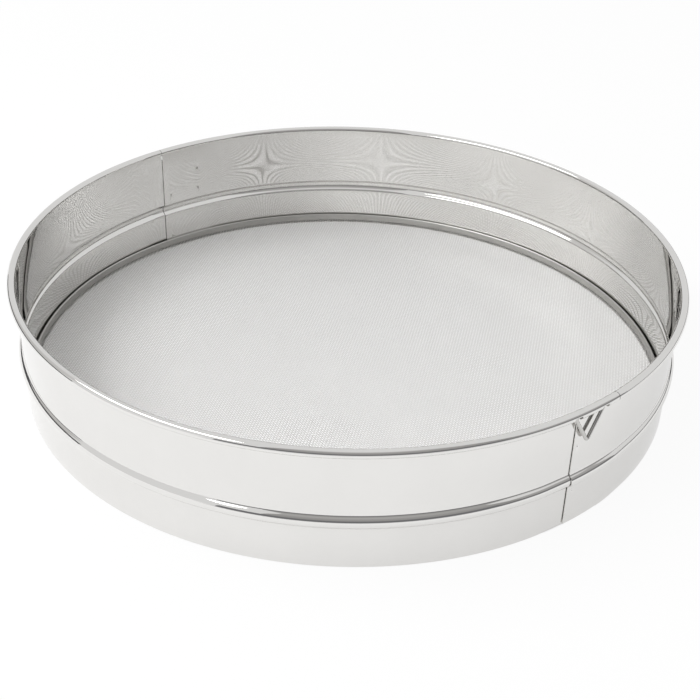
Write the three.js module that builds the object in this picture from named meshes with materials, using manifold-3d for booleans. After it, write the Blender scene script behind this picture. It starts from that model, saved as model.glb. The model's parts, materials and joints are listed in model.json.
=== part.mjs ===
// A round drum sieve of stainless steel sheet: two lapped half bands with a beaded wall and a rolled rim,
// a wire in the rim, a wire mesh clamped at the foot by a hoop, and a wire loop that swings from the rim.
// Millimetres, +Z up, origin at the middle of the foot. Bearings are degrees from +X towards +Y.
import * as THREE from 'three';
import { mergeVertices } from 'three/addons/utils/BufferGeometryUtils.js';
import Module from 'manifold-3d';

// The drum
const RIM_DIAMETER = 406;
const HEIGHT = 76;
const SHEET = 0.5;
const FOOT_LIP = 3;

// The rolled rim and the wire in it
const CURL_DIAMETER = 4.2;
const CURL_SWEEP = 270;
const RIM_WIRE_CLEARANCE = 0.4;

// The bead round the wall
const BEAD_CENTRE = 29.7;
const BEAD_WIDTH = 9.6;
const BEAD_DEPTH = 2.4;

// The two lapped seams: bearings of the right band's ends, and how the two layers step past each other
const RIGHT_BAND_OUTER_END = -91.8;
const RIGHT_BAND_INNER_END = 94.8;
const LAP = 26.2;
const LAP_CLEARANCE = 0.3;
const LAP_MARGIN = 7;
const JOGGLE = 14;
const RIM_BREAK = 0.3;
const LAP_BELOW_CURL = 1.8;

// The mesh, drawn as a coarse flat net, and the hoop that clamps it
const SEAT_CLEARANCE = 0.3;
const NET_THICKNESS = 0.8;
const NET_PITCH = 30;
const NET_BAR = 2.9;
const NET_SMALLEST_GAP = 15;
const HOOP_HEIGHT = 4.5;
const HOOP_THICKNESS = 1.6;
const HOOP_FIT = 0.3;

// The hanging loop: a wire triangle whose top bar lies in the rolled rim
const LOOP_BEARING = -90;
const LOOP_WIDTH = 23;
const LOOP_DROP = 19.8;
const LOOP_PLAY = 0.6;
const LOOP_BEND = 1.6;
const LOOP_BUTT_GAP = 0.4;
const LOOP_REST_TILT = 2;
const LOOP_SWING = 45;
const LOOP_NOTCH_CLEARANCE = 0.4;

// Facets
const FACETS = 80;
const CURL_FACETS = 9;
const BEAD_FACETS = 6;
const WIRE_SIDES = 8;
const LOOP_STEPS = 44;

// Sizes that follow
const FACET_ANGLE = 360 / FACETS;
const INNER_RADIUS = RIM_DIAMETER / 2 - CURL_DIAMETER;
const CURL_RADIUS = CURL_DIAMETER / 2;
const CURL_BORE = CURL_RADIUS - SHEET;
const CURL_CENTRE_RADIUS = INNER_RADIUS + CURL_RADIUS;
const CURL_CENTRE_HEIGHT = HEIGHT - CURL_RADIUS;
const LAP_TOP = CURL_CENTRE_HEIGHT - CURL_RADIUS - LAP_BELOW_CURL;
const JOGGLE_TOP = LAP_TOP + SHEET / 2;
const LAP_STEP = SHEET + LAP_CLEARANCE;
const LAP_ANGLE = arcAngle(LAP, INNER_RADIUS);
const RIM_WIRE_RADIUS = CURL_BORE - RIM_WIRE_CLEARANCE;
const NET_BOTTOM = SHEET + SEAT_CLEARANCE;
const HOOP_BOTTOM = NET_BOTTOM + NET_THICKNESS + SEAT_CLEARANCE;
const HOOP_OUTER_RADIUS = INNER_RADIUS - LAP_STEP / 2 - HOOP_FIT;
const HOOP_INNER_RADIUS = HOOP_OUTER_RADIUS - HOOP_THICKNESS;
const LOOP_WIRE_RADIUS = CURL_BORE - LOOP_PLAY;

const wasm = await Module();
wasm.setup();

const polishedSteel = { color: 0xd8d8d6, roughness: 0.12, metalness: 1 };
const drawnWire = { color: 0xcfcfcc, roughness: 0.22, metalness: 1 };
const meshWire = { color: 0xc8c8c4, roughness: 0.35, metalness: 1 };

function arcAngle(length, radius) {
  return THREE.MathUtils.radToDeg(length / radius);
}

function onCircle(radius, bearing, z) {
  const angle = THREE.MathUtils.degToRad(bearing);
  return new THREE.Vector3(radius * Math.cos(angle), radius * Math.sin(angle), z);
}

// A level circular arc between two bearings
class RimArc extends THREE.Curve {
  constructor(radius, z, from, to) {
    super();
    this.radius = radius;
    this.z = z;
    this.from = from;
    this.to = to;
  }

  getPoint(t, target = new THREE.Vector3()) {
    return target.copy(onCircle(this.radius, this.from + (this.to - this.from) * t, this.z));
  }
}

// Carries a section round an arc. Section points are (outward from the arc's radius, height above its level).
function sweepRound(section, radius, z, from, to) {
  const shape = new THREE.Shape(section.map(([out, up]) => new THREE.Vector2(-up, -out)));
  const steps = Math.max(1, Math.round((to - from) / FACET_ANGLE));
  return new THREE.ExtrudeGeometry(shape, { steps, extrudePath: new RimArc(radius, z, from, to) });
}

function rectangle(outFrom, outTo, upFrom, upTo) {
  return [[outFrom, upFrom], [outTo, upFrom], [outTo, upTo], [outFrom, upTo]];
}

function circlePoints(radius, sides) {
  return Array.from({ length: sides }, (_, i) => {
    const angle = (2 * Math.PI * (i + 0.5)) / sides;
    return [radius * Math.cos(angle), radius * Math.sin(angle)];
  });
}

function toSolid(geometry) {
  const bare = geometry.index ? geometry.toNonIndexed() : geometry.clone();
  bare.deleteAttribute('normal');
  bare.deleteAttribute('uv');
  const merged = mergeVertices(bare, 1e-4);
  const vertProperties = new Float32Array(merged.attributes.position.array);
  const triVerts = new Uint32Array(merged.index.array);
  return new wasm.Manifold(new wasm.Mesh({ numProp: 3, vertProperties, triVerts }));
}

function fromSolid(solid) {
  const { vertProperties, triVerts } = solid.getMesh();
  const geometry = new THREE.BufferGeometry();
  geometry.setAttribute('position', new THREE.BufferAttribute(vertProperties, 3));
  geometry.setIndex(new THREE.BufferAttribute(triVerts, 1));
  geometry.computeVertexNormals();
  return geometry;
}

function cutAway(geometry, cutters) {
  return fromSolid(cutters.reduce((rest, cutter) => rest.subtract(toSolid(cutter)), toSolid(geometry)));
}

function makeMesh(name, geometry, finish) {
  const mesh = new THREE.Mesh(geometry, new THREE.MeshStandardMaterial(finish));
  mesh.name = name;
  return mesh;
}

// Section of a band: foot lip, wall with its bead, and the edge rolled outward over the rim wire
function bandSection() {
  const bead = Array.from({ length: BEAD_FACETS + 1 }, (_, i) => {
    const share = (2 * i) / BEAD_FACETS - 1;
    const bulge = (BEAD_DEPTH * (1 + Math.cos(Math.PI * share))) / 2;
    return [bulge, BEAD_CENTRE + (share * BEAD_WIDTH) / 2];
  });
  const roll = Array.from({ length: CURL_FACETS + 1 }, (_, i) => {
    const angle = THREE.MathUtils.degToRad(180 - (CURL_SWEEP * i) / CURL_FACETS);
    return [Math.cos(angle), Math.sin(angle)];
  });
  const rolled = (radius) => ([x, y]) => [CURL_RADIUS + radius * x, CURL_CENTRE_HEIGHT + radius * y];
  return [
    [-FOOT_LIP, 0],
    [SHEET, 0],
    ...bead.map(([bulge, z]) => [SHEET + bulge, z]),
    [SHEET, JOGGLE_TOP],
    ...roll.map(rolled(CURL_BORE)),
    ...roll.map(rolled(CURL_RADIUS)).reverse(),
    [0, JOGGLE_TOP],
    ...bead.reverse(),
    [0, SHEET],
    [-FOOT_LIP, SHEET],
  ];
}

// Steps the wall in or out near one end of a band, below the rolled rim. The sign of into leads from that end
// along the band.
function joggle(geometry, end, into, step) {
  const full = arcAngle(LAP + LAP_MARGIN, INNER_RADIUS);
  const ramp = arcAngle(JOGGLE, INNER_RADIUS);
  const position = geometry.attributes.position;
  for (let i = 0; i < position.count; i += 1) {
    const point = new THREE.Vector3().fromBufferAttribute(position, i);
    const bearing = THREE.MathUtils.radToDeg(Math.atan2(point.y, point.x));
    const along = THREE.MathUtils.euclideanModulo((bearing - end) * into + 90, 360) - 90;
    const share = THREE.MathUtils.clamp((full + ramp - along) / ramp, 0, 1);
    if (point.z < JOGGLE_TOP + SHEET / 10) {
      const stretch = 1 + (step * share) / Math.hypot(point.x, point.y);
      position.setXY(i, point.x * stretch, point.y * stretch);
    }
  }
}

// A block round the whole section of a band, between two bearings
function sectionBlock(from, to) {
  const around = rectangle(-2 * FOOT_LIP, CURL_DIAMETER + FOOT_LIP, -FOOT_LIP, HEIGHT + FOOT_LIP);
  return sweepRound(around, INNER_RADIUS, 0, from, to);
}

// What the outer layer of a lap loses: its rolled edge and its foot lip
function lapCutters(outerEnd) {
  const to = outerEnd + LAP_ANGLE + arcAngle(RIM_BREAK, INNER_RADIUS);
  const lipRoot = LAP_STEP / 2 - SHEET / 10;
  const top = rectangle(-FOOT_LIP, CURL_DIAMETER + FOOT_LIP, LAP_TOP, HEIGHT + FOOT_LIP);
  const lip = rectangle(-2 * FOOT_LIP, lipRoot, -SHEET, 2 * SHEET);
  return [top, lip].map((section) => sweepRound(section, INNER_RADIUS, 0, outerEnd - FACET_ANGLE, to));
}

// A half band whose first end lies outside its neighbour and whose second end lies inside it.
// It is drawn a facet too long at either end and cut off square.
function halfBand(outerEnd, innerEnd, cutters) {
  const band = sweepRound(bandSection(), INNER_RADIUS, 0, outerEnd - FACET_ANGLE, innerEnd + FACET_ANGLE);
  joggle(band, outerEnd, 1, LAP_STEP / 2);
  joggle(band, innerEnd, -1, -LAP_STEP / 2);
  const ends = [
    sectionBlock(outerEnd - 2 * FACET_ANGLE, outerEnd),
    sectionBlock(innerEnd, innerEnd + 2 * FACET_ANGLE),
  ];
  return cutAway(band, [...ends, ...lapCutters(outerEnd), ...cutters]);
}

// Corners of the loop's wire, on its own centre line: along the rim, and up
function loopCorners() {
  const half = LOOP_WIDTH / 2 - LOOP_WIRE_RADIUS;
  const drop = LOOP_DROP - LOOP_WIRE_RADIUS;
  return [
    new THREE.Vector3(LOOP_BUTT_GAP / 2, 0, 0),
    new THREE.Vector3(half, 0, 0),
    new THREE.Vector3(0, 0, -drop),
    new THREE.Vector3(-half, 0, 0),
    new THREE.Vector3(-LOOP_BUTT_GAP / 2, 0, 0),
  ];
}

// A wire's route through corners that are bent to the given reach on either side
function bentWire(corners, reach) {
  const route = new THREE.CurvePath();
  let from = corners[0];
  corners.slice(1, -1).forEach((corner, i) => {
    const before = corner.clone().add(corners[i].clone().sub(corner).setLength(reach));
    const after = corner.clone().add(corners[i + 2].clone().sub(corner).setLength(reach));
    route.add(new THREE.LineCurve3(from, before));
    route.add(new THREE.QuadraticBezierCurve3(before, corner, after));
    from = after;
  });
  route.add(new THREE.LineCurve3(from, corners.at(-1)));
  return route;
}

// Sets a piece drawn in the loop's own axes (along the rim, inward, up) at the loop's place in the rim
function atLoop(object) {
  object.position.copy(onCircle(CURL_CENTRE_RADIUS, LOOP_BEARING, CURL_CENTRE_HEIGHT));
  object.rotation.set(0, 0, THREE.MathUtils.degToRad(LOOP_BEARING + 90));
  return object;
}

// Openings in the rolled rim for the loop's two legs, wide enough for the whole swing
function loopNotches() {
  const open = Math.asin((LOOP_WIRE_RADIUS + LOOP_NOTCH_CLEARANCE * 0.75) / CURL_BORE);
  const top = THREE.MathUtils.degToRad(LOOP_REST_TILT + LOOP_SWING - 90) + open;
  const reach = CURL_DIAMETER;
  const wallSide = CURL_BORE / 2;
  const section = new THREE.Shape([
    new THREE.Vector2(0, 0),
    new THREE.Vector2(-wallSide, -wallSide),
    new THREE.Vector2(-wallSide, -reach),
    new THREE.Vector2(reach, -reach),
    new THREE.Vector2(reach, reach * Math.tan(top)),
  ]);
  const legSlope = (LOOP_WIDTH / 2 - LOOP_WIRE_RADIUS) / (LOOP_DROP - LOOP_WIRE_RADIUS);
  const outside = LOOP_WIDTH / 2 + LOOP_NOTCH_CLEARANCE;
  const legLean = CURL_RADIUS * legSlope + 2 * LOOP_WIRE_RADIUS + LOOP_BEND / 2;
  const width = legLean + 2 * LOOP_NOTCH_CLEARANCE;
  return [-outside, outside - width].map((start) => {
    const cutter = new THREE.ExtrudeGeometry(section, { depth: width, steps: 1, bevelEnabled: false });
    cutter.applyMatrix4(new THREE.Matrix4().makeBasis(
      new THREE.Vector3(0, -1, 0), new THREE.Vector3(0, 0, 1), new THREE.Vector3(-1, 0, 0)));
    cutter.translate(start + width, 0, 0);
    const place = atLoop(new THREE.Object3D());
    place.updateMatrixWorld();
    return cutter.applyMatrix4(place.matrixWorld);
  });
}

function rightBand() {
  return makeMesh('right_band', halfBand(RIGHT_BAND_OUTER_END, RIGHT_BAND_INNER_END, []), polishedSteel);
}

function leftBand() {
  const outerEnd = RIGHT_BAND_INNER_END - LAP_ANGLE;
  const innerEnd = RIGHT_BAND_OUTER_END + LAP_ANGLE + 360;
  return makeMesh('left_band', halfBand(outerEnd, innerEnd, loopNotches()), polishedSteel);
}

// The wire in the rolled rim, open where the loop's bar takes its place
function rimWire() {
  const halfOpening = arcAngle(LOOP_WIDTH / 2 + LOOP_NOTCH_CLEARANCE, CURL_CENTRE_RADIUS);
  const from = LOOP_BEARING + halfOpening;
  const to = LOOP_BEARING + 360 - halfOpening;
  const section = circlePoints(RIM_WIRE_RADIUS, WIRE_SIDES);
  return makeMesh('rim_wire', sweepRound(section, CURL_CENTRE_RADIUS, CURL_CENTRE_HEIGHT, from, to), drawnWire);
}

// Keeps the part of a polygon that lies inside a many-sided disc
function clipToDisc(polygon, radius) {
  let rest = polygon;
  for (let i = 0; i < FACETS; i += 1) {
    const angle = (2 * Math.PI * i) / FACETS;
    const normal = new THREE.Vector2(Math.cos(angle), Math.sin(angle));
    const depth = rest.map((point) => point.dot(normal) - radius);
    const kept = [];
    rest.forEach((point, k) => {
      const next = (k + 1) % rest.length;
      if (depth[k] <= 0) kept.push(point);
      if (depth[k] * depth[next] < 0) {
        kept.push(point.clone().lerp(rest[next], depth[k] / (depth[k] - depth[next])));
      }
    });
    rest = kept;
  }
  return rest;
}

// Gaps of the net: squares of a regular grid, cut off round inside the edge that the hoop presses on
function netGaps() {
  const cells = Math.ceil(HOOP_INNER_RADIUS / NET_PITCH);
  const gaps = [];
  for (let column = -cells; column < cells; column += 1) {
    for (let row = -cells; row < cells; row += 1) {
      const [x0, y0] = [column, row].map((place) => place * NET_PITCH + NET_BAR / 2);
      const [x1, y1] = [x0, y0].map((start) => start + NET_PITCH - NET_BAR);
      const corners = [[x0, y0], [x1, y0], [x1, y1], [x0, y1]].map(([x, y]) => new THREE.Vector2(x, y));
      const gap = clipToDisc(corners, HOOP_INNER_RADIUS);
      if (gap.length > 2 && THREE.ShapeUtils.area(gap) > NET_SMALLEST_GAP) gaps.push(gap);
    }
  }
  return gaps;
}

function netPlate(outline, bottom, thickness) {
  const settings = { depth: thickness, steps: 1, bevelEnabled: false };
  return new THREE.ExtrudeGeometry(new THREE.Shape(outline), settings).translate(0, 0, bottom);
}

function wovenMesh() {
  const edge = circlePoints(HOOP_OUTER_RADIUS, FACETS).map(([x, y]) => new THREE.Vector2(x, y));
  const gaps = netGaps().map((gap) => netPlate(gap, NET_BOTTOM - NET_THICKNESS, 3 * NET_THICKNESS));
  return makeMesh('woven_mesh', cutAway(netPlate(edge, NET_BOTTOM, NET_THICKNESS), gaps), meshWire);
}

function meshHoop() {
  const top = HOOP_BOTTOM + HOOP_HEIGHT;
  const round = HOOP_THICKNESS / 2;
  const middle = HOOP_OUTER_RADIUS - round;
  const section = [
    [HOOP_INNER_RADIUS, HOOP_BOTTOM],
    [HOOP_OUTER_RADIUS, HOOP_BOTTOM],
    [HOOP_OUTER_RADIUS, top - round],
    [middle + round * Math.SQRT1_2, top - round * (1 - Math.SQRT1_2)],
    [middle, top],
    [middle - round * Math.SQRT1_2, top - round * (1 - Math.SQRT1_2)],
    [HOOP_INNER_RADIUS, top - round],
    [HOOP_INNER_RADIUS, HOOP_BOTTOM],
  ];
  const profile = section.map(([radius, z]) => new THREE.Vector2(radius, z));
  const geometry = new THREE.LatheGeometry(profile, FACETS);
  geometry.rotateX(Math.PI / 2);
  return makeMesh('mesh_hoop', geometry, polishedSteel);
}

function hangingLoop() {
  const corners = loopCorners();
  const halfTurn = corners[0].clone().sub(corners[1]).angleTo(corners[2].clone().sub(corners[1])) / 2;
  const route = bentWire(corners, LOOP_BEND / Math.tan(halfTurn));
  const round = circlePoints(LOOP_WIRE_RADIUS, WIRE_SIDES);
  const section = new THREE.Shape(round.map(([x, y]) => new THREE.Vector2(x, y)));
  const geometry = new THREE.ExtrudeGeometry(section, { steps: LOOP_STEPS, extrudePath: route });
  geometry.rotateX(-THREE.MathUtils.degToRad(LOOP_REST_TILT));
  return atLoop(makeMesh('hanging_loop', geometry, drawnWire));
}

const sieve = new THREE.Group();
sieve.add(leftBand(), rightBand(), rimWire(), wovenMesh(), meshHoop(), hangingLoop());

export default sieve;
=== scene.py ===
"""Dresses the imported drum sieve: lapped steel bands, woven wire cloth, clamping hoop and hanging loop."""

import json
import logging
import math
from collections.abc import Callable, Iterator, Sequence
from contextlib import contextmanager
from dataclasses import dataclass
from enum import Enum

import bpy
import numpy as np
from mathutils import Matrix, Vector

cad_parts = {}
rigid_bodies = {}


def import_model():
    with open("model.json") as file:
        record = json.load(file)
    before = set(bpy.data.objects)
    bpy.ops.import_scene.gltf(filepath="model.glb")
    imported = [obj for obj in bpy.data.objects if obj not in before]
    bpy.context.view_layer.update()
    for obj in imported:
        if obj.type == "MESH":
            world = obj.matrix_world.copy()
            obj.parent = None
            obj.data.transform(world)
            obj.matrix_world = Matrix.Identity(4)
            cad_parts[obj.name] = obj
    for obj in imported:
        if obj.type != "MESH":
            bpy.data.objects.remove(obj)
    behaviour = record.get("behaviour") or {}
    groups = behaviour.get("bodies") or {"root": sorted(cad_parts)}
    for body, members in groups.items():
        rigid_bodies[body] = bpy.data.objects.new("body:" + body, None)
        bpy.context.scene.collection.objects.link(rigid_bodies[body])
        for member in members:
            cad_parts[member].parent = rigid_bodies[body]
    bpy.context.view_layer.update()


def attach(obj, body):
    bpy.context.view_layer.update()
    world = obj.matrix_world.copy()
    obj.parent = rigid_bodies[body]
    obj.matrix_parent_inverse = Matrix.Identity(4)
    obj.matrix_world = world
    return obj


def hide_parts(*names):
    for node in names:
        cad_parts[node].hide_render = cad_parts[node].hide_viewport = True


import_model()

LOG = logging.getLogger("sieve")
MM = 0.001
# Degrees from the photograph's bearings to the object's
PHOTO_TURN = -38.0
# Points closer than this are one point, in millimetres
MERGE_GAP = 0.002
# Bearings closer than this are the same, in degrees
SAME_BEARING = 0.01


# Small helpers


def linear(hex_colour: str) -> tuple[float, float, float, float]:
    """Turns an sRGB hex colour into linear values.

    Args:
        hex_colour: Six hex digits.

    Returns:
        Red, green, blue and an alpha of one.
    """
    parts = [int(hex_colour[i:i + 2], 16) / 255 for i in (0, 2, 4)]
    values = [p / 12.92 if p <= 0.04045 else ((p + 0.055) / 1.055) ** 2.4 for p in parts]
    return (*values, 1.0)


def limit(share: float) -> float:
    """Keeps a share between none and all."""
    return min(max(share, 0.0), 1.0)


def on_circle(radius: float, bearing_deg: float, height: float) -> Vector:
    """Gives a point of the drum.

    Args:
        radius: Distance from the drum's axis, in metres.
        bearing_deg: Degrees from +X towards +Y.
        height: Height above the foot, in metres.

    Returns:
        The point in the object's frame.
    """
    angle = math.radians(bearing_deg)
    return Vector((radius * math.cos(angle), radius * math.sin(angle), height))


def bearing_from(point: Vector, start_deg: float, into: int = 1) -> float:
    """Gives how far round a point lies from a starting bearing.

    Args:
        point: A point of the drum.
        start_deg: The bearing to count from.
        into: 1 to count from +X towards +Y, -1 to count the other way.

    Returns:
        Degrees between -90 and 270.
    """
    angle = math.degrees(math.atan2(point.y, point.x))
    return ((angle - start_deg) * into + 90) % 360 - 90


# Modelling steps


def take_up(piece: bpy.types.Object) -> None:
    """Makes a piece the active object and the only one selected.

    Args:
        piece: The object to work on.
    """
    bpy.ops.object.select_all(action="DESELECT")
    piece.select_set(True)
    bpy.context.view_layer.objects.active = piece


def add_piece(name: str, add: Callable[..., set[str]], **sizes: object) -> bpy.types.Object:
    """Adds a primitive, with the rest of the scene deselected.

    Args:
        name: The new object's name.
        add: The operator that adds the primitive.
        sizes: What the operator is told.

    Returns:
        The new object.
    """
    bpy.ops.object.select_all(action="DESELECT")
    add(**sizes)
    piece = bpy.context.object
    piece.name = piece.data.name = name
    return piece


@contextmanager
def editing(piece: bpy.types.Object, select: str = "SELECT") -> Iterator[None]:
    """Opens one piece in edit mode for the length of a with statement.

    Args:
        piece: The mesh object to edit.
        select: What select_all does on entry.
    """
    take_up(piece)
    bpy.ops.object.mode_set(mode="EDIT")
    bpy.ops.mesh.select_mode(type="VERT")
    bpy.ops.mesh.select_all(action=select)
    yield
    bpy.ops.object.mode_set(mode="OBJECT")


@contextmanager
def editing_faces(piece: bpy.types.Object, wanted: Sequence[bool]) -> Iterator[None]:
    """Opens one piece in edit mode with only some of its faces selected.

    Args:
        piece: The mesh object to edit.
        wanted: Whether each face is selected.
    """
    with editing(piece, "DESELECT"):
        bpy.ops.mesh.select_mode(type="FACE")
    piece.data.polygons.foreach_set("select", wanted)
    bpy.ops.object.mode_set(mode="EDIT")
    yield
    bpy.ops.object.mode_set(mode="OBJECT")


def face_centres(piece: bpy.types.Object) -> np.ndarray:
    """Gives the middle of each face.

    Args:
        piece: A mesh object.

    Returns:
        One row of x, y and z for each face.
    """
    centres = np.empty(len(piece.data.polygons) * 3)
    piece.data.polygons.foreach_get("center", centres)
    return centres.reshape(-1, 3)


def apply_all(piece: bpy.types.Object) -> None:
    """Applies every modifier of a piece, in order.

    Args:
        piece: The mesh object.
    """
    take_up(piece)
    for name in [modifier.name for modifier in piece.modifiers]:
        bpy.ops.object.modifier_apply(modifier=name)


def settle(piece: bpy.types.Object) -> None:
    """Puts a piece's place, turn and scale into its mesh."""
    take_up(piece)
    bpy.ops.object.transform_apply(location=True, rotation=True, scale=True)


def smooth(piece: bpy.types.Object, crease_deg: float = 35.0) -> None:
    """Shades a piece smooth, apart from edges sharper than an angle."""
    take_up(piece)
    bpy.ops.object.shade_smooth_by_angle(angle=math.radians(crease_deg))


def close_up(piece: bpy.types.Object) -> None:
    """Merges doubles and points all faces outwards.

    Args:
        piece: The mesh object.
    """
    with editing(piece):
        bpy.ops.mesh.remove_doubles(threshold=MERGE_GAP * MM)
        bpy.ops.mesh.normals_make_consistent(inside=False)


def trace(name: str, points: Sequence[Vector]) -> bpy.types.Object:
    """Draws an open line by extruding one point from place to place.

    Args:
        name: The new object's name.
        points: The corners of the line.

    Returns:
        The line, as a mesh of edges.
    """
    line = add_piece(name, bpy.ops.mesh.primitive_plane_add, size=MM)
    with editing(line):
        bpy.ops.mesh.merge(type="CENTER")
        bpy.ops.transform.translate(value=points[0])
        for start, end in zip(points, points[1:]):
            bpy.ops.mesh.extrude_region_move(TRANSFORM_OT_translate={"value": end - start})
    return line


def spin(piece: bpy.types.Object, angle_deg: float, steps: int) -> None:
    """Spins the whole of a piece about the drum's axis.

    Args:
        piece: The line or section to spin.
        angle_deg: How far round, counted from +X towards +Y.
        steps: Number of steps.
    """
    # The operator turns clockwise about its axis, so the axis points down
    with editing(piece):
        bpy.ops.mesh.spin(steps=steps, angle=math.radians(angle_deg), center=(0, 0, 0), axis=(0, 0, -1))


def carve(piece: bpy.types.Object, cutters: Sequence[bpy.types.Object]) -> None:
    """Cuts tool shapes out of a piece and throws the tools away.

    Args:
        piece: The closed mesh to cut.
        cutters: The closed meshes to take out of it.
    """
    for cutter in cutters:
        cut = piece.modifiers.new("cut", "BOOLEAN")
        cut.operation, cut.solver, cut.object = "DIFFERENCE", "EXACT", cutter
        apply_all(piece)
        bpy.data.objects.remove(cutter)


# Finishes


def bare_tree(owner: bpy.types.Material | bpy.types.World) -> bpy.types.NodeTree:
    """Turns on the nodes of a material or a world and empties its tree.

    Args:
        owner: The material or world.

    Returns:
        Its node tree.
    """
    owner.use_nodes = True
    owner.node_tree.nodes.clear()
    return owner.node_tree


def add_node(tree: bpy.types.NodeTree, kind: str, inputs: dict | None = None,
             **settings: object) -> bpy.types.Node:
    """Adds a node with its settings, values and links.

    Args:
        tree: The node tree.
        kind: The node's type name.
        inputs: Socket name or number to a value or to another node's output.
        settings: The node's own properties.

    Returns:
        The new node.
    """
    node = tree.nodes.new(kind)
    for key, value in settings.items():
        setattr(node, key, value)
    for key, value in (inputs or {}).items():
        if isinstance(value, bpy.types.NodeSocket):
            tree.links.new(value, node.inputs[key])
        else:
            node.inputs[key].default_value = value
    return node


@dataclass(frozen=True)
class SteelFinish:
    """Bare stainless steel, whose look is its polish, its rolling or drawing lines and its smears."""

    name: str
    colour: str
    worn_colour: str
    polish: float
    smear: float
    smear_mm: float = 38.0
    grain_mm: float = 0.3
    grain_stretch: float = 40.0
    grain_depth_mm: float = 0.0
    wave_mm: float = 70.0
    wave_depth_mm: float = 0.0

    def relief(self, tree: bpy.types.NodeTree,
               place: bpy.types.NodeSocket) -> dict[str, bpy.types.NodeSocket]:
        """Adds the lines of rolling or drawing and the slow waves of thin sheet.

        Args:
            tree: The material's node tree.
            place: Object coordinates.

        Returns:
            What the shader's Normal socket takes, or nothing for a plain surface.
        """
        relief = {}
        if self.grain_depth_mm:
            along = 1 / (self.grain_stretch * self.grain_mm * MM)
            across = 1 / (self.grain_mm * MM)
            lines = add_node(tree, "ShaderNodeMapping", {"Vector": place, "Scale": (along, along, across)})
            grain = add_node(tree, "ShaderNodeTexNoise", {
                "Vector": lines.outputs["Vector"], "Scale": 1.0, "Detail": 2.0}).outputs["Fac"]
            bump = add_node(tree, "ShaderNodeBump", {
                "Height": grain, "Distance": self.grain_depth_mm * MM, "Strength": 1.0})
            relief = {"Normal": bump.outputs["Normal"]}
        if self.wave_depth_mm:
            waves = add_node(tree, "ShaderNodeTexNoise", {
                "Vector": place, "Scale": 1 / (self.wave_mm * MM), "Detail": 1.0}).outputs["Fac"]
            bump = add_node(tree, "ShaderNodeBump", {
                "Height": waves, "Distance": self.wave_depth_mm * MM, "Strength": 1.0, **relief})
            relief = {"Normal": bump.outputs["Normal"]}
        return relief

    def material(self) -> bpy.types.Material:
        """Makes the finish as a node material, or gives the one already made.

        Returns:
            The material.
        """
        made = bpy.data.materials.get(self.name)
        if made:
            return made
        made = bpy.data.materials.new(self.name)
        tree = bare_tree(made)
        place = add_node(tree, "ShaderNodeTexCoord").outputs["Object"]
        smears = add_node(tree, "ShaderNodeTexNoise", {
            "Vector": place, "Scale": 1 / (self.smear_mm * MM),
            "Detail": 4.0, "Roughness": 0.6}).outputs["Fac"]
        polish = add_node(tree, "ShaderNodeMapRange", {
            "Value": smears, "From Min": 0.35, "From Max": 0.7,
            "To Min": self.polish, "To Max": self.polish + self.smear}).outputs["Result"]
        colour = add_node(tree, "ShaderNodeMix", {
            "Factor": smears, "A": linear(self.colour), "B": linear(self.worn_colour)}, data_type="RGBA")
        shader = add_node(tree, "ShaderNodeBsdfPrincipled", {
            "Base Color": colour.outputs["Result"], "Metallic": 1.0, "Roughness": polish,
            **self.relief(tree, place)})
        add_node(tree, "ShaderNodeOutputMaterial", {"Surface": shader.outputs["BSDF"]})
        return made


# Real rolling and drawing lines are finer than the grain here, which is as coarse as it needs to be to show

# Bright-annealed stainless sheet, polished: a near mirror with faint lines round the drum, dull smears
# and the slow waves of thin sheet
POLISHED_SHEET = SteelFinish("polished_stainless_sheet", "eae9e7", "e4e3e1", polish=0.02, smear=0.025,
                             grain_mm=0.5, grain_depth_mm=0.0004, wave_depth_mm=0.05)
# Plain stainless strip for the hoop, never polished: the same steel, but duller and darker
PLAIN_STRIP = SteelFinish("plain_stainless_strip", "c6c5c2", "b4b3b0", polish=0.3, smear=0.1,
                          grain_mm=0.4, grain_depth_mm=0.002)
# Drawn stainless wire: bright, with fine lines left by drawing
DRAWN_WIRE = SteelFinish("drawn_stainless_wire", "d2d1ce", "c0bfbc", polish=0.08, smear=0.08,
                         grain_depth_mm=0.002)
# Fine woven stainless wire: drawn and softened, so its gloss is broad
CLOTH_WIRE = SteelFinish("woven_stainless_wire", "dedddb", "d5d4d2", polish=0.38, smear=0.05)


class Slot(Enum):
    """The record's material slots."""

    SHEET = "polished_steel"
    WIRE = "drawn_wire"
    CLOTH = "mesh_wire"


def dress(piece: bpy.types.Object, finish: SteelFinish, body: str, node: str) -> None:
    """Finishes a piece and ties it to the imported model.

    Args:
        piece: The finished mesh.
        finish: Its material.
        body: The body that it moves with.
        node: The CAD node that it stands for.
    """
    piece.data.materials.clear()
    piece.data.materials.append(finish.material())
    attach(piece, body)
    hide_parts(node)
    LOG.info("%s: %d faces", piece.name, len(piece.data.polygons))


# The sieve


@dataclass(frozen=True)
class Drum:
    """Sizes that the bands, the rim wire and the loop share, in millimetres and degrees."""

    inner_radius: float = 198.0
    height: float = 76.0
    sheet: float = 0.5
    curl_radius: float = 2.5
    front_seam: float = -91.8
    rear_seam: float = 94.8
    lap: float = 26.2
    lap_step: float = 0.8
    lap_margin: float = 7.0
    lap_top: float = 69.2
    joggle: float = 14.0
    rim_break: float = 0.3
    loop_bearing: float = -90.0

    @property
    def curl_centre_radius(self) -> float:
        """Radius of the circle that the middle of the rolled rim follows."""
        return self.inner_radius + self.curl_radius

    @property
    def curl_centre_height(self) -> float:
        """Height of the middle of the rolled rim."""
        return self.height - self.curl_radius

    def arc(self, length: float) -> float:
        """Turns a length along the wall into degrees."""
        return math.degrees(length / self.inner_radius)


class Face(Enum):
    """The two faces of the wall."""

    OUTER = "outer"
    INNER = "inner"


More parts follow.
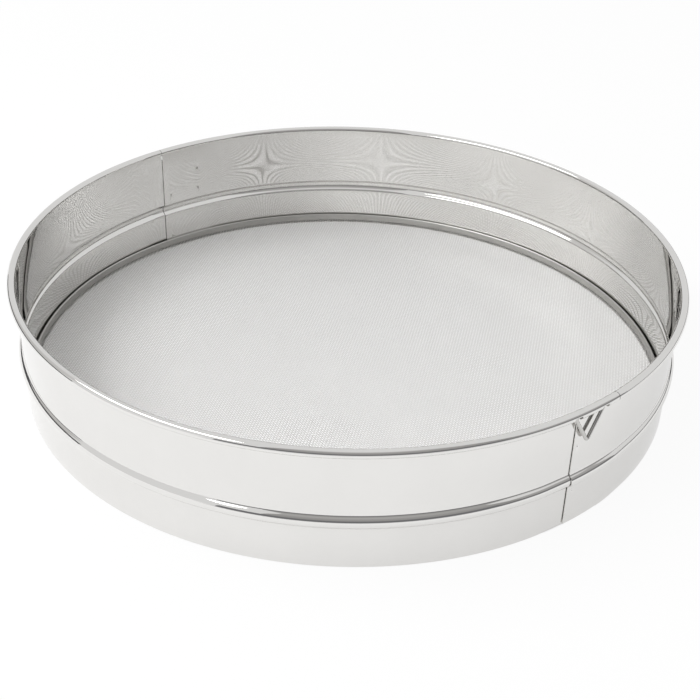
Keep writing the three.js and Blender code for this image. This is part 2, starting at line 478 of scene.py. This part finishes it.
@dataclass(frozen=True)
class WeldSpot:
    """The shallow dent of one spot weld in a lap, in millimetres and degrees."""

    bearing: float
    height: float
    face: Face
    ball: float = 1.6
    dent: float = 0.28
    segments: int = 20
    rings: int = 14

    def tool(self, drum: Drum) -> bpy.types.Object:
        """Makes a ball that bites the dent out of the sheet.

        Args:
            drum: The sizes of the wall.

        Returns:
            The ball, in its place.
        """
        stand_off = self.ball - self.dent
        if self.face is Face.OUTER:
            radius = drum.inner_radius + drum.sheet + drum.lap_step / 2 + stand_off
        else:
            radius = drum.inner_radius - drum.lap_step / 2 - stand_off
        ball = add_piece("weld_tool", bpy.ops.mesh.primitive_uv_sphere_add,
                         segments=self.segments, ring_count=self.rings, radius=self.ball * MM)
        ball.location = on_circle(radius * MM, self.bearing, self.height * MM)
        settle(ball)
        return ball


# The welds that show in the photograph: on the outside by the loop, and on the inside of the rear seam
WELDS = (
    WeldSpot(-91.1, 52.0, Face.OUTER),
    WeldSpot(-90.9, 23.0, Face.OUTER),
    WeldSpot(-91.4, 7.0, Face.OUTER),
    WeldSpot(86.7, 57.4, Face.INNER),
    WeldSpot(86.7, 42.3, Face.INNER),
    WeldSpot(93.2, 41.9, Face.INNER),
    WeldSpot(93.3, 7.2, Face.INNER),
)


@dataclass(frozen=True)
class HalfBand:
    """Half of the wall: a strip with a foot lip, a bead and a rolled rim, lapped at both ends.

    Sizes are in millimetres and degrees. The rows are heights at which the flat of the wall is divided, and
    the notch's corners are measured from the middle of the roll: along the rim, outward and up.
    """

    name: str
    drum: Drum
    outer_end: float
    inner_end: float
    notched: bool = False
    welds: tuple[WeldSpot, ...] = ()
    foot_lip: float = 3.0
    foot_bend: float = 0.9
    foot_points: int = 4
    lower_rows: tuple[float, ...] = (6.0, 14.0, 21.0)
    bead_centre: float = 29.7
    bead_width: float = 9.6
    bead_depth: float = 2.4
    bead_hollow: float = 2.0
    hollow_points: int = 6
    crown_points: int = 10
    upper_rows: tuple[float, ...] = (44.0, 53.0, 62.0)
    curl_sweep: float = 270.0
    curl_points: int = 28
    facet: float = 1.25
    notch_low: tuple[float, float, float] = (7.3, -1.0, -5.0)
    notch_high: tuple[float, float, float] = (12.4, 5.0, 0.3)

    def section(self) -> list[tuple[float, float]]:
        """Traces the middle of the sheet from the lip to the end of the roll.

        Returns:
            Pairs of distance outward from the wall's inner face and height, in millimetres.
        """
        drum = self.drum
        half = drum.sheet / 2
        bend = self.foot_bend
        lip = [(-self.foot_lip, half), (half - bend, half)]
        foot = [(half - bend + bend * math.sin(a), half + bend - bend * math.cos(a))
                for a in np.radians(np.linspace(90 / self.foot_points, 90, self.foot_points))]
        lower = [(half, z) for z in self.lower_rows]
        bead = [(half + out, self.bead_centre + up) for out, up in self.bead()]
        upper = [(half, z) for z in (*self.upper_rows, drum.lap_top)]
        mid = drum.curl_radius - half
        roll = [(drum.curl_radius + mid * math.cos(a), drum.curl_centre_height + mid * math.sin(a))
                for a in np.radians(np.linspace(180, 180 - self.curl_sweep, self.curl_points))]
        return lip + foot + lower + bead + upper + roll

    def bead(self) -> list[tuple[float, float]]:
        """Traces the bead: a round back that runs into the wall through a hollow at each side.

        Returns:
            Pairs of distance outward from the wall and height above the bead's middle, in millimetres.
        """
        hollow_radius = self.bead_hollow
        half_width = self.bead_width / 2
        steepest = 2 * math.atan(2 * self.bead_depth / self.bead_width)
        back_radius = half_width / math.sin(steepest) - hollow_radius
        hollow = [(hollow_radius * (1 - math.cos(a)), half_width - hollow_radius * math.sin(a))
                  for a in np.linspace(0, steepest, self.hollow_points)[:-1]]
        crown = [(self.bead_depth - back_radius * (1 - math.cos(a)), back_radius * math.sin(a))
                 for a in np.linspace(steepest, 0, self.crown_points)]
        upper = hollow + crown
        return [(out, -up) for out, up in upper] + upper[-2::-1]

    def lap_edge(self) -> float:
        """Degrees from the outer end to where the roll and the lip begin."""
        return self.drum.arc(self.drum.lap + self.drum.rim_break)

    def lost_in_lap(self, point: Vector) -> bool:
        """Tells whether a point is of the roll or the lip that the outer layer of the lap lacks.

        Args:
            point: A point of the sheet.

        Returns:
            True where the sheet is cut away.
        """
        in_lap = bearing_from(point, self.outer_end) < self.lap_edge() - SAME_BEARING
        roll = point.z > self.drum.lap_top * MM
        lip = math.hypot(point.x, point.y) < self.drum.inner_radius * MM
        foot = point.z < (self.drum.sheet / 2 + self.foot_bend) * MM
        return in_lap and (roll or lip or foot)

    def build(self) -> bpy.types.Object:
        """Spins the section round, cuts the lap free, steps both ends and gives the sheet its thickness.

        Returns:
            The band, as a closed mesh.
        """
        drum = self.drum
        band = trace(f"{self.name}_sheet", [
            on_circle((drum.inner_radius + out) * MM, self.outer_end, z * MM) for out, z in self.section()])
        sweep = self.inner_end - self.outer_end
        spin(band, sweep, round(sweep / self.facet))
        edge = math.radians(self.outer_end + self.lap_edge())
        with editing(band):
            bpy.ops.mesh.bisect(plane_co=(0, 0, 0), plane_no=(-math.sin(edge), math.cos(edge), 0))
        lost = [self.lost_in_lap(Vector(centre)) for centre in face_centres(band)]
        with editing_faces(band, lost):
            bpy.ops.mesh.delete(type="FACE")
        self.step_end(band, self.outer_end, 1, drum.lap_step / 2)
        self.step_end(band, self.inner_end, -1, -drum.lap_step / 2)
        thick = band.modifiers.new("sheet", "SOLIDIFY")
        thick.thickness, thick.offset, thick.use_even_offset = drum.sheet * MM, 0.0, True
        apply_all(band)
        close_up(band)
        if self.notched:
            carve(band, self.notch_tools())
        carve(band, [weld.tool(drum) for weld in self.welds])
        smooth(band)
        return band

    def step_end(self, band: bpy.types.Object, end: float, into: int, step: float) -> None:
        """Steps the wall in or out near one end, below the rolled rim.

        Args:
            band: The unthickened sheet.
            end: Bearing of that end.
            into: 1 where bearings grow from the end into the band, otherwise -1.
            step: How far outward, in millimetres.
        """
        drum = self.drum
        full = drum.arc(drum.lap + drum.lap_margin)
        ramp = drum.arc(drum.joggle)
        fade = drum.curl_centre_height - drum.lap_top
        rolled_radius = drum.inner_radius + drum.curl_radius / 2
        for vertex in band.data.vertices:
            place = vertex.co
            radius = math.hypot(place.x, place.y)
            if radius > rolled_radius * MM and place.z > drum.lap_top * MM:
                continue
            share = limit((full + ramp - bearing_from(place, end, into)) / ramp)
            share *= share * (3 - 2 * share)
            share *= limit(1 - (place.z / MM - drum.lap_top) / fade)
            place.xy *= 1 + step * share * MM / radius

    def notch_tools(self) -> list[bpy.types.Object]:
        """Makes the two blocks that open the rolled rim for the loop's legs.

        Returns:
            The blocks, in their places.
        """
        drum = self.drum
        low, high = Vector(self.notch_low), Vector(self.notch_high)
        middle = (low + high) / 2
        tools = []
        for side in (-1, 1):
            tool = add_piece("notch_tool", bpy.ops.mesh.primitive_cube_add, size=1)
            tool.scale = (high - low) * MM
            tool.location = Vector((side * middle.x, -drum.curl_centre_radius - middle.y,
                                    drum.curl_centre_height + middle.z)) * MM
            settle(tool)
            tools.append(tool)
        return tools

    def dress(self) -> bpy.types.Object:
        """Builds the band and gives it the polished finish.

        Returns:
            The dressed band.
        """
        band = self.build()
        dress(band, POLISHED_SHEET, "drum", self.name)
        return band


@dataclass(frozen=True)
class RimWire:
    """The wire that the rim is rolled round, open where the loop's bar lies, in millimetres."""

    drum: Drum
    radius: float = 1.5
    half_opening: float = 12.4
    sides: int = 14
    steps: int = 220

    def dress(self) -> bpy.types.Object:
        """Spins a round section through the roll and closes its ends.

        Returns:
            The dressed wire.
        """
        drum = self.drum
        opening = math.degrees(self.half_opening / drum.curl_centre_radius)
        start = drum.loop_bearing + opening
        wire = add_piece("rim_wire_round", bpy.ops.mesh.primitive_circle_add,
                         vertices=self.sides, radius=self.radius * MM, fill_type="NOTHING")
        wire.rotation_euler = (math.pi / 2, 0, math.radians(start))
        wire.location = on_circle(drum.curl_centre_radius * MM, start, drum.curl_centre_height * MM)
        settle(wire)
        spin(wire, 360 - 2 * opening, self.steps)
        with editing(wire):
            bpy.ops.mesh.fill_holes(sides=self.sides)
        close_up(wire)
        smooth(wire)
        dress(wire, DRAWN_WIRE, "drum", "rim_wire")
        return wire


@dataclass(frozen=True)
class WireCloth:
    """Plain-woven wire cloth: each wire goes over one and under the next, both ways.

    Sizes are in millimetres and degrees.
    """

    pitch: float = 1.27
    wire_radius: float = 0.19
    sides: int = 4
    rise: float = 0.195
    join_gap: float = 0.01
    edge_radius: float = 196.8
    level: float = 1.2
    bearing: float = -4.2
    strips: int = 4

    def repeat(self) -> bpy.types.Object:
        """Models one repeat of the weave one way: two wires, two crossings long.

        Returns:
            The two short wires, with open ends.
        """
        cell = add_piece("weave_repeat", bpy.ops.mesh.primitive_circle_add,
                         vertices=self.sides, radius=self.wire_radius * MM, fill_type="NOTHING")
        cell.rotation_euler = (0, math.pi / 2, 0)
        settle(cell)
        over, along = 2 * self.rise * MM, self.pitch * MM
        with editing(cell):
            bpy.ops.transform.translate(value=(0, 0, self.rise * MM))
            bpy.ops.mesh.extrude_region_move(TRANSFORM_OT_translate={"value": (along, 0, -over)})
            bpy.ops.mesh.extrude_region_move(TRANSFORM_OT_translate={"value": (along, 0, over)})
            bpy.ops.mesh.select_all(action="SELECT")
            bpy.ops.mesh.duplicate_move(TRANSFORM_OT_translate={"value": (0, along, 0)})
            bpy.ops.transform.resize(value=(1, 1, -1), center_override=(0, 0, 0))
        return cell

    def lay(self) -> bpy.types.Object:
        """Repeats the weave along and across, centres it and trims it round.

        Returns:
            All the wires that run one way.
        """
        cloth = self.repeat()
        count = math.ceil(self.edge_radius / self.pitch)
        for axis in (0, 1):
            rows = cloth.modifiers.new("rows", "ARRAY")
            rows.count, rows.use_relative_offset, rows.use_constant_offset = count, False, True
            rows.constant_offset_displace = [2 * self.pitch * MM if i == axis else 0 for i in range(3)]
            rows.use_merge_vertices, rows.merge_threshold = axis == 0, self.join_gap * MM
        apply_all(cloth)
        # The first and last wires lie half a pitch inside the cloth's sides
        cloth.location = (-count * self.pitch * MM, -(count - 0.5) * self.pitch * MM, 0)
        settle(cloth)
        centres = face_centres(cloth)
        outside = np.hypot(centres[:, 0], centres[:, 1]) > self.edge_radius * MM
        with editing_faces(cloth, outside):
            bpy.ops.mesh.delete(type="FACE")
            bpy.ops.mesh.select_all(action="SELECT")
            bpy.ops.mesh.fill_holes(sides=self.sides)
        close_up(cloth)
        return cloth

    def split(self, cloth: bpy.types.Object) -> list[bpy.types.Object]:
        """Parts the laid wires into strips of whole wires.

        Args:
            cloth: All the wires that run one way.

        Returns:
            The strips, from one side to the other.
        """
        width = 2 * self.edge_radius / self.strips
        found = []
        for number in range(1, self.strips):
            between_wires = math.floor((number * width - self.edge_radius) / self.pitch) * self.pitch * MM
            before = set(bpy.data.objects)
            with editing_faces(cloth, face_centres(cloth)[:, 1] < between_wires):
                bpy.ops.mesh.separate(type="SELECTED")
            found += set(bpy.data.objects) - before
        return [*found, cloth]

    def dress(self) -> list[bpy.types.Object]:
        """Lays the wires one way, copies them for the other way and sets both at the foot.

        Returns:
            The dressed strips of wire.
        """
        warp = self.split(self.lay())
        pieces = []
        for way, turn in (("along", 0), ("across", 90)):
            for number, strip in enumerate(warp, 1):
                piece = strip
                if turn:
                    piece = strip.copy()
                    piece.data = strip.data.copy()
                    bpy.context.collection.objects.link(piece)
                piece.name = piece.data.name = f"cloth_wires_{way}_{number}"
                pieces.append((piece, turn))
        for piece, turn in pieces:
            piece.rotation_euler = (0, 0, math.radians(self.bearing + turn))
            piece.scale = (1, 1, -1 if turn else 1)
            piece.location = (0, 0, self.level * MM)
            settle(piece)
            if turn:
                close_up(piece)
            smooth(piece, crease_deg=180)
            # Light through the fine gaps would leave blotches on the floor
            piece.visible_shadow = piece.visible_diffuse = False
            dress(piece, CLOTH_WIRE, "drum", "woven_mesh")
        return [piece for piece, _ in pieces]


@dataclass(frozen=True)
class ClampHoop:
    """The ring that presses the edge of the cloth on to the foot lip, in millimetres."""

    outer_radius: float = 197.3
    thickness: float = 1.6
    bottom: float = 1.9
    height: float = 4.5
    edge_points: int = 9
    steps: int = 240

    def dress(self) -> bpy.types.Object:
        """Spins a strip with a rounded top edge.

        Returns:
            The dressed hoop.
        """
        half = self.thickness / 2
        middle = self.outer_radius - half
        top = self.bottom + self.height - half
        edge = [(middle + half * math.cos(a), top + half * math.sin(a))
                for a in np.radians(np.linspace(0, 180, self.edge_points))]
        inner = self.outer_radius - self.thickness
        corners = [(inner, self.bottom), (self.outer_radius, self.bottom), *edge, (inner, self.bottom)]
        hoop = trace("mesh_hoop_strip", [on_circle(r * MM, 0, z * MM) for r, z in corners])
        spin(hoop, 360, self.steps)
        close_up(hoop)
        smooth(hoop)
        dress(hoop, PLAIN_STRIP, "drum", "mesh_hoop")
        return hoop


@dataclass(frozen=True)
class HangingLoop:
    """A bent wire triangle whose top bar turns inside the rolled rim, in millimetres and degrees."""

    drum: Drum
    wire_radius: float = 1.0
    width: float = 24.0
    drop: float = 19.4
    bend: float = 1.6
    tip_bend: float = 1.05
    butt_gap: float = 0.4
    rest_tilt: float = 2.0
    sides: int = 14
    bend_steps: int = 10

    def build(self) -> bpy.types.Object:
        """Extrudes the straight runs of the wire and spins its three bends.

        Returns:
            The loop, with the middle of its bar at the origin.
        """
        half, depth = self.width / 2 - self.wire_radius, self.drop - self.wire_radius
        turn = math.pi - math.atan2(depth, half)
        tip_turn = 2 * math.pi - 2 * turn
        reach = self.bend * math.tan(turn / 2)
        tip_reach = self.tip_bend * math.tan(tip_turn / 2)
        leg = math.hypot(half, depth) - reach - tip_reach
        bar = half - reach - self.butt_gap / 2
        loop = add_piece("hanging_loop_wire", bpy.ops.mesh.primitive_circle_add,
                         vertices=self.sides, radius=self.wire_radius * MM, fill_type="NGON")
        loop.rotation_euler = (0, math.pi / 2, 0)
        loop.location = (self.butt_gap / 2 * MM, 0, 0)
        settle(loop)
        runs = ((bar, turn, self.bend), (leg, tip_turn, self.tip_bend),
                (leg, turn, self.bend), (bar, 0.0, 0.0))
        place, heading = Vector((self.butt_gap / 2, 0, 0)), 0.0
        with editing(loop):
            for run, bend, radius in runs:
                ahead = Vector((math.cos(heading), 0, -math.sin(heading)))
                bpy.ops.mesh.extrude_region_move(TRANSFORM_OT_translate={"value": ahead * run * MM})
                place += ahead * run
                if bend:
                    centre = place + Vector((-math.sin(heading), 0, -math.cos(heading))) * radius
                    bpy.ops.mesh.spin(
                        steps=self.bend_steps, angle=bend, center=centre * MM, axis=(0, -1, 0))
                    heading += bend
                    place = centre + Vector((math.sin(heading), 0, math.cos(heading))) * radius
        close_up(loop)
        return loop

    def dress(self) -> bpy.types.Object:
        """Builds the loop, hangs it in the rim and gives it the wire finish.

        Returns:
            The dressed loop.
        """
        drum = self.drum
        loop = self.build()
        loop.rotation_euler = (-math.radians(self.rest_tilt), 0, 0)
        loop.location = on_circle(
            drum.curl_centre_radius * MM, drum.loop_bearing, drum.curl_centre_height * MM)
        settle(loop)
        smooth(loop)
        dress(loop, DRAWN_WIRE, "loop", "hanging_loop")
        return loop


# The studio


@dataclass(frozen=True)
class PhotoCamera:
    """The photograph's viewpoint, found by fitting the rim, the bead and the foot.

    The place and the lens are in millimetres, the angles in degrees and the clipping distances in metres.
    """

    bearing: float = PHOTO_TURN
    reach: float = 678.865
    height: float = 431.851
    yaw: float = -0.1815
    pitch: float = 32.104
    roll: float = 1.736
    lens: float = 64.56
    sensor: float = 36.0
    nearest: float = 0.05
    farthest: float = 40.0

    def place(self) -> None:
        """Adds the camera and makes it the scene's own."""
        data = bpy.data.cameras.new("photo_camera")
        camera = bpy.data.objects.new("photo_camera", data)
        bpy.context.scene.collection.objects.link(camera)
        data.lens, data.sensor_width = self.lens, self.sensor
        data.clip_start, data.clip_end = self.nearest, self.farthest
        turn = Matrix.Rotation(math.radians(self.bearing), 4, "Z")
        aim = (Matrix.Rotation(math.radians(self.yaw), 4, "Z")
               @ Matrix.Rotation(math.radians(90 - self.pitch), 4, "X")
               @ Matrix.Rotation(math.radians(self.roll), 4, "Z"))
        camera.matrix_world = turn @ Matrix.Translation(Vector((0, -self.reach, self.height)) * MM) @ aim
        bpy.context.scene.camera = camera


@dataclass(frozen=True)
class Card:
    """A card that stands on the floor, glows a fixed grey and is seen only in the metal, to give it tones.
    No lamp lights it, so its grey is painted light.

    Bearings are the photograph's, in degrees, and the other sizes are in metres. A card with a lean has its
    top edge that much further out.
    """

    name: str
    first_bearing: float
    last_bearing: float
    reach: float
    height: float
    low_grey: str
    high_grey: str
    lean: float = 0.0
    facet: float = 6.0

    def material(self) -> bpy.types.Material:
        """Makes a glow that fades from one grey at the floor to another at its top: painted light in place
        of lit board.

        Returns:
            The material.
        """
        made = bpy.data.materials.new(self.name)
        tree = bare_tree(made)
        place = add_node(tree, "ShaderNodeTexCoord").outputs["Object"]
        height = add_node(tree, "ShaderNodeSeparateXYZ", {0: place}).outputs["Z"]
        share = add_node(tree, "ShaderNodeMapRange", {"Value": height, "From Max": self.height})
        grey = add_node(tree, "ShaderNodeMix", {
            "Factor": share.outputs["Result"], "A": linear(self.low_grey), "B": linear(self.high_grey)},
            data_type="RGBA")
        # The card glows its grey rather than being lit: painted light, which only the metal shows
        glowing_grey = add_node(tree, "ShaderNodeEmission", {"Color": grey.outputs["Result"], "Strength": 1.0})
        add_node(tree, "ShaderNodeOutputMaterial", {"Surface": glowing_grey.outputs["Emission"]})
        return made

    def stand(self, turn: float) -> None:
        """Bends the card round the drum and stands it up.

        Args:
            turn: Degrees from the photograph's bearings to the object's.
        """
        start = self.first_bearing + turn
        card = trace(self.name, [on_circle(self.reach, start, 0),
                                 on_circle(self.reach + self.lean, start, self.height)])
        sweep = self.last_bearing - self.first_bearing
        spin(card, sweep, round(sweep / self.facet))
        card.data.materials.append(self.material())
        card.visible_camera = card.visible_diffuse = card.visible_shadow = False


@dataclass(frozen=True)
class Studio:
    """A white floor and surround, two lamps above the left, and glowing grey cards, painted light for the
    metal to mirror.

    Sizes are in metres, bearings are the photograph's, in degrees, and lamps are in watts. A lift is how
    far the floor outside the drum shows as plain white, to the camera or in the metal.
    """

    turn: float = PHOTO_TURN
    floor_size: float = 12.0
    floor_depth: float = 0.01 * MM
    floor_colour: str = "fbfbfb"
    drum_reach: float = 0.1977
    seen_lift: float = 0.92
    mirrored_lift: float = 0.56
    sky: float = 0.61
    mirrored_sky: float = 0.8
    key_power: float = 11.5
    key_size: tuple[float, float] = (1.7, 0.85)
    strip_power: float = 4.5
    strip_size: tuple[float, float] = (1.4, 0.2)
    lamp_bearing: float = 195.0
    lamp_reach: float = 0.9
    lamp_height: float = 1.2
    cards: tuple[Card, ...] = (
        # Each card glows its greys, painted light that only the metal mirrors; the mat glows near white by
        # the drum and darker grey further out
        Card("dark_front_card", -125, -45, 1.2, 0.42, "727274", "7c7c7e"),
        Card("grey_front_card", -113, -38, 1.3, 3.6, "8e8d8c", "d4d3d2"),
        Card("dark_right_card", -45, -4, 1.2, 0.22, "6e6e70", "787879"),
        Card("grey_right_card", -38, -4, 1.3, 0.8, "989796", "b8b7b6"),
        Card("dark_left_card", -222, -172, 1.2, 0.25, "4c4c4e", "606062"),
        Card("grey_left_card", -215, -180, 1.3, 1.6, "c2c1bf", "dcdbda"),
        Card("dark_back_card", -4, 95, 1.3, 0.12, "484849", "5c5c5e"),
        Card("dark_front_mat", -125, -4, 0.38, 0.002, "f2f2f2", "88888a", lean=0.8),
    )

    def floor_material(self) -> bpy.types.Material:
        """Makes a white floor that keeps its shadows, faintly outside the drum and fully inside it.

        Returns:
            The material.
        """
        made = bpy.data.materials.new("white_floor")
        tree = bare_tree(made)
        path = add_node(tree, "ShaderNodeLightPath").outputs
        mirrored = add_node(tree, "ShaderNodeMath", {
            0: path["Is Glossy Ray"], 1: path["Is Transmission Ray"]}, operation="MAXIMUM")
        soft = add_node(tree, "ShaderNodeMath", {
            0: mirrored.outputs[0], 1: self.mirrored_lift}, operation="MULTIPLY")
        lift = add_node(tree, "ShaderNodeMath", {
            0: path["Is Camera Ray"], 1: self.seen_lift, 2: soft.outputs[0]}, operation="MULTIPLY_ADD")
        place = add_node(tree, "ShaderNodeTexCoord").outputs["Object"]
        reach = add_node(tree, "ShaderNodeVectorMath", {0: place}, operation="LENGTH").outputs["Value"]
        outside = add_node(tree, "ShaderNodeMath", {0: reach, 1: self.drum_reach}, operation="GREATER_THAN")
        share = add_node(tree, "ShaderNodeMath", {
            0: lift.outputs[0], 1: outside.outputs[0]}, operation="MULTIPLY")
        matt = add_node(tree, "ShaderNodeBsdfDiffuse", {"Color": linear(self.floor_colour)}).outputs["BSDF"]
        white = add_node(tree, "ShaderNodeEmission", {"Strength": 1.0}).outputs["Emission"]
        mix = add_node(tree, "ShaderNodeMixShader", {0: share.outputs[0], 1: matt, 2: white})
        add_node(tree, "ShaderNodeOutputMaterial", {"Surface": mix.outputs["Shader"]})
        return made

    def lay_floor(self) -> None:
        """Adds the floor just below the foot."""
        floor = add_piece("floor", bpy.ops.mesh.primitive_plane_add,
                          size=self.floor_size, location=(0, 0, -self.floor_depth))
        floor.data.materials.append(self.floor_material())

    def light_sky(self) -> None:
        """Sets a white surround: soft light for the object, greyer in the metal and white to the camera."""
        world = bpy.data.worlds.new("white_surround")
        bpy.context.scene.world = world
        tree = bare_tree(world)
        path = add_node(tree, "ShaderNodeLightPath").outputs
        first = add_node(tree, "ShaderNodeMath", {
            0: path["Is Camera Ray"], 1: path["Is Glossy Ray"]}, operation="MAXIMUM")
        both = add_node(tree, "ShaderNodeMath", {
            0: first.outputs[0], 1: path["Is Transmission Ray"]}, operation="MAXIMUM")
        level = add_node(tree, "ShaderNodeMath", {
            0: path["Is Camera Ray"], 1: 1 - self.mirrored_sky, 2: self.mirrored_sky},
            operation="MULTIPLY_ADD")
        white = linear("ffffff")
        soft = add_node(tree, "ShaderNodeBackground", {"Color": white, "Strength": self.sky})
        seen = add_node(tree, "ShaderNodeBackground", {"Color": white, "Strength": level.outputs[0]})
        mix = add_node(tree, "ShaderNodeMixShader", {
            0: both.outputs[0], 1: soft.outputs["Background"], 2: seen.outputs["Background"]})
        add_node(tree, "ShaderNodeOutputWorld", {"Surface": mix.outputs["Shader"]})

    def hang_lamp(self, name: str, size: tuple[float, float], power: float) -> bpy.types.Object:
        """Adds a lamp above the drum's left, facing it.

        Args:
            name: The lamp's name.
            size: Its level side and its other side.
            power: Watts.

        Returns:
            The lamp.
        """
        data = bpy.data.lights.new(name, "AREA")
        data.shape = "RECTANGLE"
        data.energy = power
        data.size, data.size_y = size
        lamp = bpy.data.objects.new(name, data)
        bpy.context.scene.collection.objects.link(lamp)
        lamp.location = on_circle(self.lamp_reach, self.lamp_bearing + self.turn, self.lamp_height)
        lamp.rotation_euler = (-lamp.location).to_track_quat("-Z", "Y").to_euler()
        return lamp

    def keep_off(self, lamp: bpy.types.Object, pieces: Sequence[bpy.types.Object]) -> None:
        """Keeps a lamp's light off mirror-bright pieces, which would show it as a broad white band.

        Args:
            lamp: The lamp.
            pieces: The pieces that it doesn't light.
        """
        group = bpy.data.collections.new(f"{lamp.name}_receivers")
        for piece in pieces:
            group.objects.link(piece)
        lamp.light_linking.receiver_collection = group
        for member in group.collection_objects:
            member.light_linking.link_state = "EXCLUDE"

    def set_up(self, mirrors: Sequence[bpy.types.Object]) -> None:
        """Builds the whole studio.

        Args:
            mirrors: The pieces of polished sheet, which only the thin lamp lights.
        """
        bpy.context.scene.view_settings.view_transform = "Standard"
        self.lay_floor()
        self.light_sky()
        self.hang_lamp("strip_lamp", self.strip_size, self.strip_power)
        self.keep_off(self.hang_lamp("key_lamp", self.key_size, self.key_power), mirrors)
        for card in self.cards:
            card.stand(self.turn)


def main() -> None:
    """Builds the sieve and its studio."""
    logging.basicConfig(level=logging.INFO, format="%(name)s %(message)s")
    PhotoCamera().place()
    drum = Drum()
    lap = drum.arc(drum.lap)
    right = HalfBand("right_band", drum, drum.front_seam, drum.rear_seam, welds=WELDS).dress()
    left = HalfBand(
        "left_band", drum, drum.rear_seam - lap, drum.front_seam + lap + 360, notched=True).dress()
    RimWire(drum).dress()
    WireCloth().dress()
    ClampHoop().dress()
    HangingLoop(drum).dress()
    Studio().set_up([left, right])


if __name__ == "__main__":
    main()
